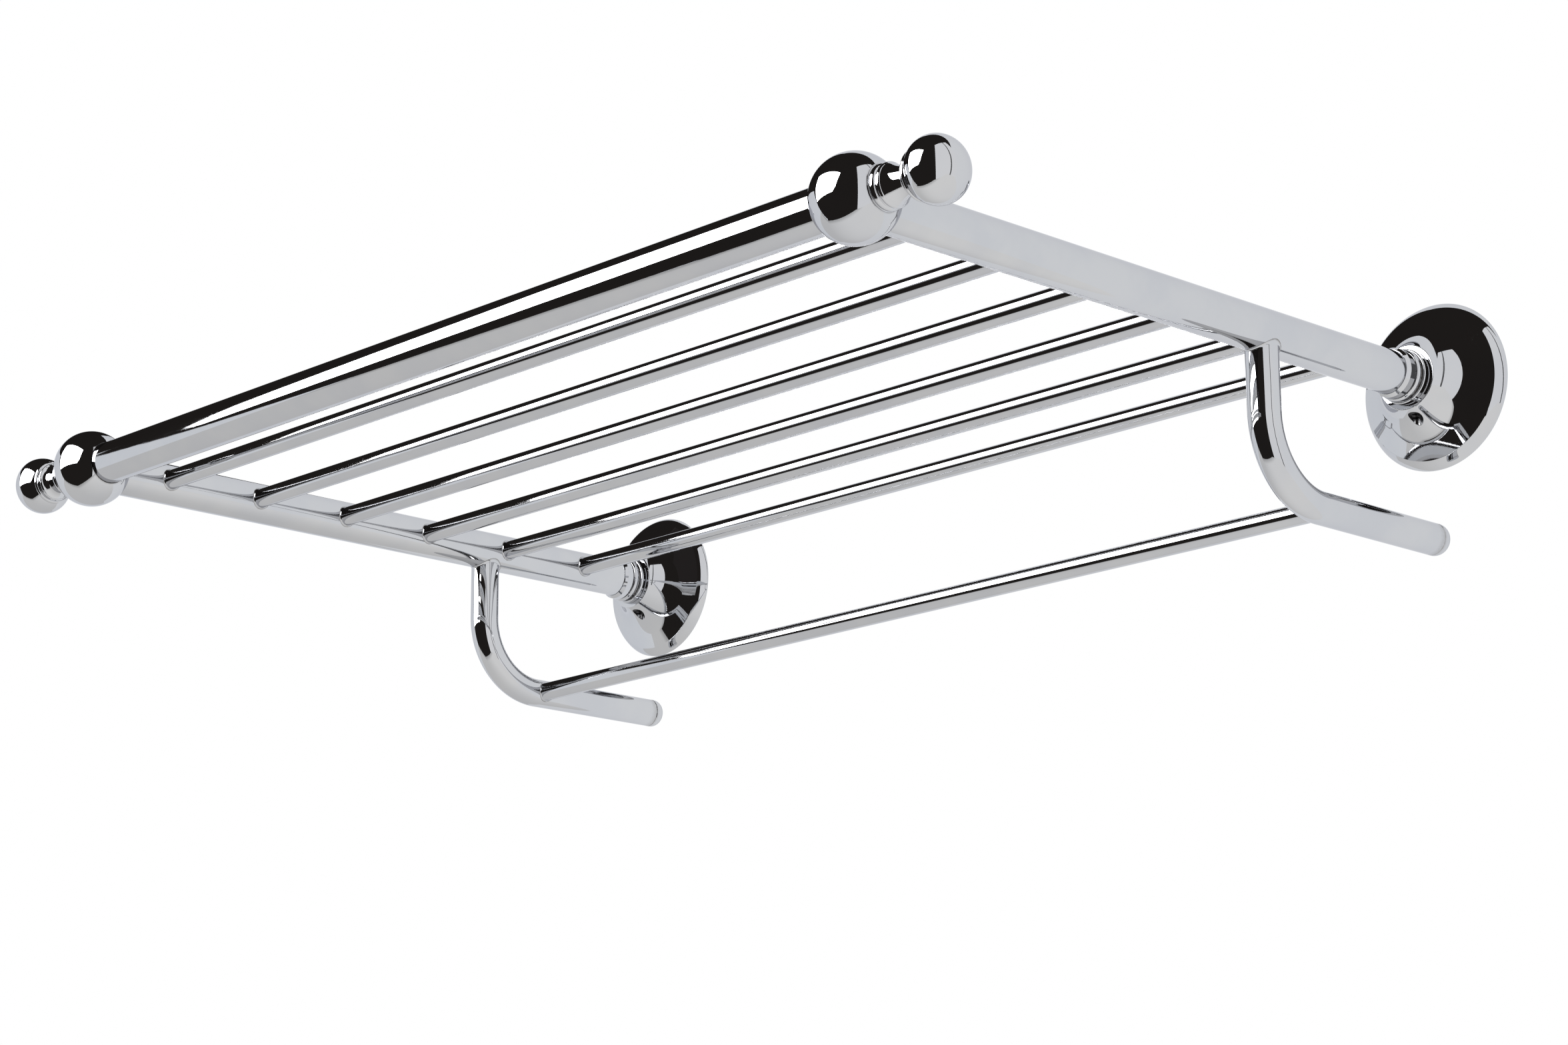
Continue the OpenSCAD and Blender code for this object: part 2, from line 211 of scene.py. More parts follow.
def turned(name, prof, origin, axis, segs=128, closed=True, hole=None):
    """Spins a profile about an axis. closed joins the last point to the first."""
    A = np.asarray(axis, float)
    E1 = np.cross(A, Z) if abs(A @ Z) < 0.9 else np.cross(A, Y)
    E1 = unit(E1)
    E2 = np.cross(A, E1)
    O = np.asarray(origin, float)
    P, S = list(prof.p), list(prof.strips)
    if closed and np.linalg.norm(P[0] - P[-1]) < 1e-6:
        P = P[:-1]
    n = len(P)
    th = np.arange(segs) * 2 * PI / segs
    dirs = np.cos(th)[:, None] * E1 + np.sin(th)[:, None] * E2
    verts, index, seam = [], [], []
    for (u, r), s in zip(P, prof.seam):
        if r < 1e-9:
            index.append([len(verts)] * segs)
            verts.append(O + A * u)
            seam.append(s)
        else:
            index.append(list(range(len(verts), len(verts) + segs)))
            verts.extend(O + A * u + dirs * r)
            seam.extend([s] * segs)
    faces, norms = [], []
    gap = None
    if hole:
        k0, k1 = hole["k"]
        j0 = max(j for j in range(hole["j"][0], hole["j"][1]) if P[j][0] < hole["u"] - hole["r"] - 1.3)
        j1 = min(j for j in range(hole["j"][0], hole["j"][1]) if P[j][0] > hole["u"] + hole["r"] + 1.0)
        gap = (j0, j1, k0, k1)
    for j, (n0, n1) in enumerate(S):
        a, b = index[j], index[(j + 1) % n]
        N0 = A * n0[0] + dirs * n0[1]
        N1 = A * n1[0] + dirs * n1[1]
        for k in range(segs):
            l = (k + 1) % segs
            if gap and gap[0] <= j < gap[1] and gap[2] <= k < gap[3]:
                continue
            if a[k] == a[l] and b[k] == b[l]:
                continue
            if a[k] == a[l]:
                faces.append((a[k], b[l], b[k])); norms += [unit(N0[k] + N0[l]), N1[l], N1[k]]
            elif b[k] == b[l]:
                faces.append((a[k], a[l], b[k])); norms += [N0[k], N0[l], unit(N1[k] + N1[l])]
            else:
                faces.append((a[k], a[l], b[l], b[k])); norms += [N0[k], N0[l], N1[l], N1[k]]
    if gap:
        # a drilled hole below the axis: rings close in from the opening's edge
        # to a circle, then a broken edge, the wall and a flat bottom
        j0, j1, k0, k1 = gap
        loop = ([index[j0][k] for k in range(k0, k1)] + [index[j][k1] for j in range(j0, j1)]
                + [index[j1][k] for k in range(k1, k0, -1)] + [index[j][k0] for j in range(j1, j0, -1)])
        pu = np.array([P[j][0] for j in range(j0, j1 + 1)])
        pr = np.array([P[j][1] for j in range(j0, j1 + 1)])
        pt = np.array([math.atan2(S[j][0][1], S[j][0][0]) for j in range(j0, j1 + 1)])
        V = np.array([verts[i] for i in loop]) - O
        bx, bu = V[:, 0], V @ A
        al = np.arctan2(bu - hole["u"], bx)
        m = len(loop)

        def on(x, u):
            r = np.interp(u, pu, pr)
            z = -np.sqrt(np.maximum(r * r - x * x, 0))
            t = np.interp(u, pu, pt)
            rad = np.stack([x, 0 * x, z], 1) / r[:, None]
            return O + np.outer(u, A) + np.stack([x, 0 * x, z], 1), A * np.cos(t)[:, None] + rad * np.sin(t)[:, None]

        pts, nn = on(bx, bu)
        prev, pn = loop, nn
        rings = []
        cx, cu = hole["r"] + 0.35, hole["r"] + 0.35
        for t in np.linspace(0, 1, 10)[1:]:
            q, nq = on(bx + (cx * np.cos(al) - bx) * t, bu + (hole["u"] + cu * np.sin(al) - bu) * t)
            rings.append((q, nq, nq, 0.0))
        edge, en = on(cx * np.cos(al), hole["u"] + cu * np.sin(al))
        inw = -(np.cos(al)[:, None] * X + np.sin(al)[:, None] * A)
        # seam values rise into the hole for painted shade and tarnish: 0.3 on the broken edge, 1 on the wall and
        # bottom
        for a_ in (30, 60, 90):
            f_ = math.radians(a_)
            q = edge + inw * 0.35 * math.sin(f_) + Z * 0.35 * (1 - math.cos(f_))
            nq = unit(en * math.cos(f_) + inw * math.sin(f_))
            rings.append((q, nq, nq, 0.3))
        q = edge + inw * 0.35
        q = q * np.array([1, 1, 0]) + Z * (O[2] - hole["floor"])
        rings.append((q, inw, inw, 1.0))
        for q, na, nb, sv in rings:
            ids = list(range(len(verts), len(verts) + m))
            verts.extend(q)
            seam.extend([sv] * m)
            for i in range(m):
                l = (i + 1) % m
                faces.append((prev[i], prev[l], ids[l], ids[i]))
                norms += [pn[i], pn[l], na[l], na[i]]
            prev, pn = ids, nb
        c = len(verts)
        verts.append(O + A * hole["u"] - Z * hole["floor"])
        seam.append(1.0)
        for i in range(m):
            l = (i + 1) % m
            faces.append((prev[i], prev[l], c))
            norms += [-Z, -Z, -Z]
    return make(name, verts, faces, norms, seam)


def skin(name, rings, nrings, seam, caps=None):
    """A closed loop of rings (rows x segs x 3) skinned in order, each row with
    its normals; the last row joins the first."""
    rows, segs = rings.shape[:2]
    verts = rings.reshape(-1, 3)
    faces, norms = [], []
    for j in range(rows):
        jj = (j + 1) % rows
        n0, n1 = nrings[j]
        for k in range(segs):
            l = (k + 1) % segs
            faces.append((j * segs + k, j * segs + l, jj * segs + l, jj * segs + k))
            norms += [n0[k], n0[l], n1[l], n1[k]]
    return make(name, verts, faces, norms, np.repeat(seam, segs))


def surface_normals(rings):
    """Normals of a smooth grid of rings by central differences."""
    du = np.gradient(rings, axis=0, edge_order=2)
    dv = np.roll(rings, -1, 1) - np.roll(rings, 1, 1)
    n = np.cross(dv, du)
    return unit(n)


# ------------------------------------------------------------------ materials
def nodes_of(mat):
    mat.use_nodes = True
    nt = mat.node_tree
    nt.nodes.clear()
    out = nt.nodes.new("ShaderNodeOutputMaterial")
    bs = nt.nodes.new("ShaderNodeBsdfPrincipled")
    nt.links.new(bs.outputs["BSDF"], out.inputs["Surface"])
    return nt, bs


def noise(nt, vec, scale, detail=3.0, rough=0.5, dist=0.0):
    n = nt.nodes.new("ShaderNodeTexNoise")
    n.inputs["Scale"].default_value = scale
    n.inputs["Detail"].default_value = detail
    n.inputs["Roughness"].default_value = rough
    n.inputs["Distortion"].default_value = dist
    nt.links.new(vec, n.inputs["Vector"])
    return n.outputs["Fac"]


def maprange(nt, val, a, b, c, d, smooth=False):
    m = nt.nodes.new("ShaderNodeMapRange")
    if smooth:
        m.interpolation_type = "SMOOTHSTEP"
    m.inputs["From Min"].default_value = a
    m.inputs["From Max"].default_value = b
    m.inputs["To Min"].default_value = c
    m.inputs["To Max"].default_value = d
    nt.links.new(val, m.inputs["Value"])
    return m.outputs["Result"]


def math2(nt, op, a, b):
    m = nt.nodes.new("ShaderNodeMath")
    m.operation = op
    for s, v in zip(m.inputs, (a, b)):
        if isinstance(v, (int, float)):
            s.default_value = v
        else:
            nt.links.new(v, s)
    return m.outputs[0]


def mapped(nt, scale, offset=(0, 0, 0)):
    tc = nt.nodes.new("ShaderNodeTexCoord")
    mp = nt.nodes.new("ShaderNodeMapping")
    mp.inputs["Scale"].default_value = scale
    mp.inputs["Location"].default_value = offset
    nt.links.new(tc.outputs["Object"], mp.inputs["Vector"])
    return mp.outputs["Vector"]


def mixrgb(nt, fac, a, b):
    m = nt.nodes.new("ShaderNodeMix")
    m.data_type = "RGBA"
    nt.links.new(fac, m.inputs["Factor"])
    for s, v in ((m.inputs["A"], a), (m.inputs["B"], b)):
        if isinstance(v, tuple):
            s.default_value = (*v, 1.0)
        else:
            nt.links.new(v, s)
    return m.outputs["Result"]


def chrome(name, grain=(1.0, 1.0, 1.0), seed=0.0, wave=1.0, smudge=1.0):
    """Bright chromium plate on polished brass: a cool mirror with the faint
    lines of the polishing mop, soft smears where it is handled, a slow
    unevenness of the plate, and painted shade with tarnish in every crevice."""
    mat = bpy.data.materials.new(name)
    nt, bs = nodes_of(mat)
    bs.inputs["Metallic"].default_value = 1.0
    bs.inputs["Specular Tint"].default_value = (0.80, 0.80, 0.82, 1.0)
    vec = mapped(nt, (1, 1, 1), (seed, seed * 0.7, -seed))
    fine = mapped(nt, tuple(900.0 * g for g in grain), (seed, 0, seed))
    # tint: chromium is slightly blue, a little warmer where the plate is thin
    tint = noise(nt, vec, 38.0, 3.0, 0.55)
    col = mixrgb(nt, maprange(nt, tint, 0.32, 0.68, 0, 1, True), (0.560, 0.568, 0.590), (0.590, 0.594, 0.606))
    # painted shade with tarnish: the seam value darkens the colour to a near-black brown in crevices and joints, where
    # shade falls, and roughens it
    seam = nt.nodes.new("ShaderNodeAttribute")
    seam.attribute_name = "seam"
    shade_and_tarnish = math2(nt, "MULTIPLY", seam.outputs["Fac"], maprange(nt, noise(nt, vec, 700.0, 2.0), 0.3, 0.7, 0.55, 1.0))
    col = mixrgb(nt, shade_and_tarnish, col, (0.17, 0.155, 0.14))
    nt.links.new(col, bs.inputs["Base Color"])
    # roughness: mirror bright, with smears, wipe marks and dried specks
    smear = maprange(nt, noise(nt, vec, 26.0, 4.0, 0.6, 0.8), 0.45, 0.75, 0.0, 1.0, True)
    wipe = maprange(nt, noise(nt, fine, 0.8, 2.0), 0.35, 0.75, 0.0, 1.0, True)
    speck = maprange(nt, noise(nt, vec, 420.0, 2.0, 0.4), 0.70, 0.78, 0.0, 1.0, True)
    rough = math2(nt, "MULTIPLY", math2(nt, "MULTIPLY", smear, wipe), 0.035 * smudge)
    rough = math2(nt, "ADD", rough, math2(nt, "MULTIPLY", speck, 0.05 * smudge))
    rough = math2(nt, "ADD", rough, math2(nt, "MULTIPLY", shade_and_tarnish, 0.22))
    rough = math2(nt, "ADD", rough, 0.022)
    nt.links.new(rough, bs.inputs["Roughness"])
    # relief: the plate's slow waviness, then the mop's hair lines
    b1 = nt.nodes.new("ShaderNodeBump")
    b1.inputs["Strength"].default_value = 1.0
    b1.inputs["Distance"].default_value = 0.000035 * wave
    nt.links.new(noise(nt, vec, 42.0, 1.5, 0.4), b1.inputs["Height"])
    b2 = nt.nodes.new("ShaderNodeBump")
    b2.inputs["Strength"].default_value = 1.0
    b2.inputs["Distance"].default_value = 0.0000012
    nt.links.new(noise(nt, fine, 1.0, 3.0, 0.7), b2.inputs["Height"])
    nt.links.new(b1.outputs["Normal"], b2.inputs["Normal"])
    nt.links.new(b2.outputs["Normal"], bs.inputs["Normal"])
    return mat


def plain_metal(name, base, second, rough, scale, bump, stretch=(1, 1, 1), metallic=1.0):
    """Unplated or zinc-plated metal: blotchy colour, brushed or cast grain."""
    mat = bpy.data.materials.new(name)
    nt, bs = nodes_of(mat)
    bs.inputs["Metallic"].default_value = metallic
    vec = mapped(nt, stretch)
    blot = noise(nt, vec, scale, 4.0, 0.6)
    cell = nt.nodes.new("ShaderNodeTexVoronoi")
    cell.inputs["Scale"].default_value = scale * 2.2
    nt.links.new(vec, cell.inputs["Vector"])
    fac = maprange(nt, math2(nt, "ADD", blot, math2(nt, "MULTIPLY", cell.outputs["Distance"], 0.35)), 0.4, 0.95, 0, 1, True)
    nt.links.new(mixrgb(nt, fac, base, second), bs.inputs["Base Color"])
    nt.links.new(maprange(nt, noise(nt, vec, scale * 6, 3.0), 0.3, 0.7, rough * 0.75, rough * 1.3), bs.inputs["Roughness"])
    b = nt.nodes.new("ShaderNodeBump")
    b.inputs["Strength"].default_value = 1.0
    b.inputs["Distance"].default_value = bump
    nt.links.new(noise(nt, vec, scale * 9, 3.0, 0.6), b.inputs["Height"])
    nt.links.new(b.outputs["Normal"], bs.inputs["Normal"])
    return mat


M_ARM = chrome("chrome_arm", (4.0, 0.12, 4.0), 0.11)
M_RAIL = chrome("chrome_rail", (0.12, 4.0, 4.0), 0.37)
M_ROD = chrome("chrome_rod", (0.12, 4.0, 4.0), 0.73, 0.8)
M_HOOK = chrome("chrome_hook", (1.6, 0.6, 0.6), 0.29, 1.0)
M_BALL = chrome("chrome_ball", (0.5, 3.0, 3.0), 0.53, 0.5, 0.8)
M_TURN = chrome("chrome_turned", (3.0, 3.0, 0.5), 0.91, 0.5, 0.8)
M_FLAN = chrome("chrome_flange", (0.8, 3.0, 0.8), 0.67, 0.6, 1.0)
M_STEEL = plain_metal("zinc_steel", (0.50, 0.51, 0.53), (0.62, 0.63, 0.66), 0.33, 160.0, 0.000006)
M_BRASS = plain_metal("bare_brass", (0.62, 0.42, 0.16), (0.74, 0.55, 0.26), 0.30, 90.0, 0.000005)
M_PLATE = plain_metal("zinc_plate", (0.44, 0.45, 0.47), (0.60, 0.61, 0.64), 0.36, 70.0, 0.000012, (1, 1, 0.35))
M_GRUB = plain_metal("black_oxide", (0.045, 0.045, 0.05), (0.085, 0.08, 0.078), 0.42, 300.0, 0.000006)


def piece(ob, mat, slot, *nodes):
    ob.data.materials.append(mat)
    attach(ob, "root")
    if nodes:
        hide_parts(*nodes)
    return ob


# ------------------------------------------------------------ straight tubes
def tube_profile(u0, u1, r, wall, edge=0.35):
    """Hollow tube with rounded lips."""
    p = Profile(u0 + edge, r)
    p.line(u0 + 1.4, r)
    n = max(2, int((u1 - u0) / 12))
    for k in range(1, n + 1):
        p.line(u0 + 1.4 + (u1 - u0 - 2.8) * k / n, r)
    p.line(u1 - edge, r)
    p.oval(u1 - edge, r - edge, edge, edge, 90, 0, 4)
    p.line(u1, r - wall)
    p.line(u0, r - wall)
    p.line(u0, r - edge)
    p.oval(u0 + edge, r - edge, edge, edge, 180, 90, 4)
    return p


for s, side in ((1, "right"), (-1, "left")):
    arm = turned("arm_tube_" + side, tube_profile(-ARM_Y1, -ARM_Y0, ARM_R, TUBE_WALL), (s * HALF, 0, 0), -Y, 160)
    piece(arm, M_ARM, "arm_tube", "arm_" + side)
rail = turned("front_rail_tube", tube_profile(-RAIL_X, RAIL_X, ARM_R, TUBE_WALL), (0, -PROJ, 0), X, 160)
piece(rail, M_RAIL, "rail_tube", "front_rail")


def branch_rows(D, M, R, r, delta, n=9):
    """Rows of a solder fillet where a tube of radius r along D leaves a tube of
    radius R along M: from the big tube's surface out to the small tube's side.
    Returns offsets from the big tube's axis point, and the seam value."""
    N = np.cross(D, M)
    ph = np.arange(96) * 2 * PI / 96
    rows = []
    for t in np.linspace(0, PI / 2, n):
        rho, h = r + delta - delta * math.sin(t), delta - delta * math.cos(t)
        s_ = np.sqrt(R * R - (rho * np.sin(ph)) ** 2)
        rows.append(D * (s_ + h)[:, None] + rho * (np.cos(ph)[:, None] * M + np.sin(ph)[:, None] * N))
    return np.array(rows)


# ----------------------------------------------------------------- thin rods
def thin_rod(name, y, z, R, slot, node, mat, delta=0.7):
    """A rod between two tubes of radius R at x = -HALF and HALF that run along
    Y, with a small polished fillet of solder at each end, hollow inside."""
    left = branch_rows(X, Y, R, ROD_R, delta) + np.array([-HALF, y, z])
    ph = np.arange(96) * 2 * PI / 96
    N = np.cross(X, Y)
    circ = np.cos(ph)[:, None] * Y + np.sin(ph)[:, None] * N
    x0 = -HALF + R + delta + 0.1
    xs = np.concatenate([[x0 + 0.6, x0 + 2.0], np.linspace(x0 + 8, -x0 - 8, 44), [-x0 - 2.0, -x0 - 0.6]])
    mid = np.array([np.array([x, y, z]) + ROD_R * circ for x in xs])
    right = left[::-1].copy()
    right[..., 0] *= -1
    outer = np.concatenate([left, mid, right])
    n_out = surface_normals(outer)
    rad = unit(mid - np.array([1, 0, 0]) * mid[..., :1] - np.array([0, y, z]))
    n_out[len(left):len(left) + len(mid)] = rad
    n_out[len(left) - 1] = circ
    n_out[len(left) + len(mid)] = circ
    # normals where the fillet meets the big tube: the big tube's own
    sn = left[0] - np.array([-HALF, 0, z]); sn[:, 1] = 0
    n_out[0] = unit(sn)
    sn = right[-1] - np.array([HALF, 0, z]); sn[:, 1] = 0
    n_out[-1] = unit(sn)
    # the buried end faces and the bore, so that the piece is a closed shell
    e0 = outer[0] - X * 1.1
    e1 = outer[-1] + X * 1.1
    b0 = np.array([-HALF + R - 1.5, y, z]) + (ROD_R - 1.0) * circ
    b1 = np.array([HALF - R + 1.5, y, z]) + (ROD_R - 1.0) * circ
    rings = np.concatenate([outer, e1[None], b1[None], b0[None], e0[None]])
    rows = len(outer)
    nr = [(n_out[j], n_out[j + 1]) for j in range(rows - 1)]
    one = np.ones((96, 1))
    nr += [(circ, circ), (one * X, one * X), (-circ, -circ), (-one * X, -one * X), (circ, circ)]
    # seam values for painted crevice shade and tarnish, strongest at each fillet's joint and fading along the rod
    seam = np.zeros(len(rings))
    seam[:4] = [1.0, 0.8, 0.45, 0.15]
    seam[rows - 4:rows] = [0.15, 0.45, 0.8, 1.0]
    # skin() wants its first row as the start of the loop; ring order turns
    #     outward with dv x du
    ob = skin(name, rings, nr, seam)
    return piece(ob, mat, slot, node)


for i, y in enumerate(RODS):
    thin_rod("shelf_rod_tube_%d" % (i + 1), y, 0.0, ARM_R, "rod", "shelf_rod_%d" % (i + 1), M_ROD)
thin_rod("lower_rail_tube", LOW_Y, RUN_Z, HOOK_R, "rod", "lower_rail", M_ROD, 0.6)


# --------------------------------------------------------------------- hooks
def hook(s, side):
    ph = np.arange(96) * 2 * PI / 96
    top = branch_rows(-Z, Y, ARM_R, HOOK_R, 0.9, 10)
    top = top + np.array([s * HALF, HOOK_Y, 0])
    N = np.cross(-Z, Y)
    rings, path, frames = [], [], []
    z_bend = RUN_Z + BEND
    z0 = -(ARM_R + 0.9 + 0.2)
    for z in np.linspace(z0 - 0.8, z_bend, 9):
        path.append((HOOK_Y, z)); frames.append((Y, N))
    for a in np.radians(np.linspace(0, 90, 49))[1:]:
        path.append((HOOK_Y + BEND - BEND * math.cos(a), z_bend - BEND * math.sin(a)))
        frames.append((Y * math.cos(a) + Z * math.sin(a), N))
    for y in np.linspace(HOOK_Y + BEND, HOOK_END - 0.25, 24)[1:]:
        path.append((y, RUN_Z)); frames.append((Z, N))
    mid, mn = [], []
    for (y, z), (e1, e2) in zip(path, frames):
        c = np.cos(ph)[:, None] * e1 + np.sin(ph)[:, None] * e2
        mid.append(np.array([s * HALF, y, z]) + HOOK_R * c)
        mn.append(c)
    mid, mn = np.array(mid), np.array(mn)
    outer = np.concatenate([top, mid])
    n_out = surface_normals(outer)
    n_out[len(top):] = mn
    n_out[len(top) - 1] = mn[0]
    sn = top[0] - np.array([s * HALF, 0, 0]); sn[:, 1] = 0
    n_out[0] = unit(sn)
    # rolled lip at the open end, inside bore, and a buried top
    cE = mn[-1]
    lip = np.array([s * HALF, HOOK_END, RUN_Z]) + (HOOK_R - 0.25) * cE
    inner_end = np.array([s * HALF, HOOK_END, RUN_Z]) + (HOOK_R - 1.2) * cE
    step = list(range(len(path) - 1, -1, -3))
    inner = [np.array([s * HALF, path[k][0], path[k][1]]) + (HOOK_R - 1.2) * mn[k] for k in step]
    b0 = top[0] + Z * 1.1
    i0 = np.array([s * HALF, HOOK_Y, -ARM_R + 2.2]) + (HOOK_R - 1.2) * mn[0]
    rings = np.concatenate([outer, lip[None], inner_end[None], np.array(inner), i0[None], b0[None]])
    one = np.ones((96, 1))
    nr = [(n_out[j], n_out[j + 1]) for j in range(len(outer) - 1)]
    nr += [(mn[-1], unit(mn[-1] + Y)), (one * Y, one * Y), (-mn[-1], -mn[step[0]])]
    nr += [(-mn[step[k]], -mn[step[k + 1]]) for k in range(len(step) - 1)]
    nr += [(-mn[step[-1]], -mn[0]), (one * Z, one * Z), (mn[0], mn[0])]
    # seam values for painted crevice shade and tarnish at the arm joint and where the plug enters the open end
    seam = np.zeros(len(rings))
    seam[:4] = [1.0, 0.8, 0.4, 0.12]
    seam[len(outer) - 1:len(outer) + 1] = [0.35, 1.0]
    ob = skin("hook_tube_" + side, rings, nr, seam)
    piece(ob, M_HOOK, "hook_tube", "hook_" + side)
    # domed plug
    L = CAP_END - HOOK_END
    p = Profile(0, HOOK_R - 0.25)
    p.line(0.25, HOOK_R, seam=0.0)
    p.line(L - 4.4, HOOK_R)
    p.oval(L - 4.4, HOOK_R - 3.6, 4.4, 3.6, 90, 14, 14)
    last = p.p[-1]
    k = np.linspace(0, 1, 8)
    p.curve(np.stack([last[0] + (L - last[0]) * np.sin(k * PI / 2), last[1] * (1 - k)], 1))
    p.line(-9.0, 0.0)
    p.line(-9.0, HOOK_R - 2.2)
    p.line(-8.0, HOOK_R - 1.25)
    p.line(0, HOOK_R - 1.25)
    p.line(0, HOOK_R - 0.25)
    # seam values for painted crevice shade and tarnish where the plug meets the tube
    p.seam[0] = 1.0
    p.seam[1] = 0.3
    cap = turned("hook_cap_" + side, p, (s * HALF, HOOK_END, RUN_Z), Y, 96)
    piece(cap, M_HOOK, "hook_tube", "hook_end_cap_" + side)


hook(1, "right")
hook(-1, "left")


# --------------------------------------------------- corner balls and finials
def ball_profile():
    R, sock = BALL_R, RAIL_X - HALF        # sock is negative: the rail's end
    a0, a1 = math.acos(NECK_U0 / R), PI - math.asin((ARM_R + 0.25) / R)
    p = Profile(R * math.cos(a1), R * math.sin(a1))
    al = np.linspace(a1, a0 + 0.012, 90)
    pts = np.stack([R * np.cos(al), R * np.sin(al)], 1)
    for k in range(len(al) - 1):
        n0, n1 = np.array([math.cos(al[k]), math.sin(al[k])]), np.array([math.cos(al[k + 1]), math.sin(al[k + 1])])
        p._add([pts[k], pts[k + 1]], [n0, n1], 0.0)
    # seam values for painted crevice shade and tarnish beside the arm, at the neck and in the socket
    p.seam[0], p.seam[1] = 0.5, 0.2
    p.seam[-1] = 0.15
    p.line(NECK_U0, R * math.sin(a0) - 0.15, seam=0.6)
    p.line(NECK_U0, 3.05)
    p.line(sock, 3.05)
    p.line(sock, ARM_R + 0.05)
    p.line(R * math.cos(a1) + 0.2, ARM_R + 0.05, seam=1.0)
    p.line(R * math.cos(a1), R * math.sin(a1), seam=1.0)
    return p


# the finial ball is widest at its centre: find its place from the CAD mesh
_co = np.array([v.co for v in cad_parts["finial_ball_right"].data.vertices]) / MM
_wide = _co[np.abs(_co[:, 2]).argmax(), 0] - HALF
FIN_K = (FIN_U1 - _wide) / FIN_R
FIN_UC = FIN_U1 - FIN_R * FIN_K


def fin_out(u, grow=0.0):
    """Radius of the finial ball at distance u from the corner ball's centre."""
    h = FIN_R * FIN_K + grow
    return (FIN_R + grow) * math.sqrt(max(0.0, 1 - ((u - FIN_UC) / h) ** 2))


def neck_profile():
    u0, u1 = NECK_U0, NECK_U1
    rim = 0.2 + fin_out(u1)                              # the cup's rim
    p = Profile(u0, 8.95)
    p.curve(np.array([(u0, 8.95), (u0 + 0.08, 8.7), (u0 + 0.2, 8.55)]))
    p.oval(16.5, 8.12, 1.42, 0.93, 160, 14, 24)          # bead beside the ball
    p.line(18.05, 8.1)
    p.line(18.4, 8.05)
    p.oval(19.5, 7.98, 1.08, 0.79, 172, 20, 20)          # second bead
    a = p.p[-1]
    # waisted body: leans over, then eases to the waist and flares to a ring
    knots = np.array([(a[0], a[1]), (21.2, 7.86), (21.8, 7.47), (22.4, 7.10), (23.2, 6.70), (24.2, 6.30), (25.5, 5.93),
                      (26.8, 5.70), (27.8, 5.64), (28.6, 5.84), (29.3, 6.30), (29.9, 6.95), (30.4, 7.75), (30.62, 8.25)])
    p.curve(smooth_run(knots, 90))
    p.oval(31.0, 8.25, 0.40, 0.50, 178, 4, 14)           # narrow ring
    p.line(31.5, 8.45)
    c = rim - 0.86
    t0 = math.degrees(math.acos(min(1, max(-1, (31.62 - (u1 - 0.6)) / 1.05))))
    p.line(31.62, c + 1.05 * math.sin(math.radians(t0)))
    p.oval(u1 - 0.6, c, 1.05, 1.05, t0, 55.15, 28)       # the cup's round edge
    p.line(u1, fin_out(u1, 0.05))
    q = np.array([(v, fin_out(v, 0.05)) for v in np.linspace(u1, FIN_U0, 8)])
    q[0] = p.p[-1]
    p.curve(q)
    p.line(FIN_U0, 3.05)
    p.line(u0, 3.05)
    p.line(u0, 8.95)
    return p


def finial_profile():
    # spheroid: radius FIN_R across, half-thickness from its own box
    k = FIN_K
    uc = FIN_U1 - FIN_R * k
    a1 = math.acos(max(-1, min(1, (FIN_U0 - uc) / (FIN_R * k))))
    p = Profile(FIN_U0, FIN_R * math.sin(a1))
    al = np.linspace(a1, 0, 100)
    for j in range(len(al) - 1):
        q0 = (uc + FIN_R * k * math.cos(al[j]), FIN_R * math.sin(al[j]))
        q1 = (uc + FIN_R * k * math.cos(al[j + 1]), FIN_R * math.sin(al[j + 1]))
        n0 = unit([math.cos(al[j]) / k, math.sin(al[j])])
        n1 = unit([math.cos(al[j + 1]) / k, math.sin(al[j + 1])])
        p._add([q0, q1], [n0, n1], 0.0)
    p.p[-1][1] = 0.0
    # seam values for painted crevice shade and tarnish where the finial sits on the neck
    p.seam[0], p.seam[1] = 0.5, 0.15
    # blind hole for the tie rod
    p.line(uc + 1.0, 0.0)
    p.line(uc + 1.0, 3.05)
    p.line(FIN_U0, 3.05)
    p.line(FIN_U0, FIN_R * math.sin(a1), seam=1.0)
    return p


for s, side in ((1, "right"), (-1, "left")):
    o, ax = (s * HALF, -PROJ, 0), X * s
    b = turned("corner_ball_shell_" + side, ball_profile(), o, ax, 192)
    piece(b, M_BALL, "ball", "corner_ball_" + side)
    n_ = turned("finial_neck_turning_" + side, neck_profile(), o, ax, 160)
    piece(n_, M_TURN, "turned", "finial_neck_" + side)
    f_ = turned("finial_ball_shell_" + side, finial_profile(), o, ax, 176)
    piece(f_, M_BALL, "ball", "finial_ball_" + side)


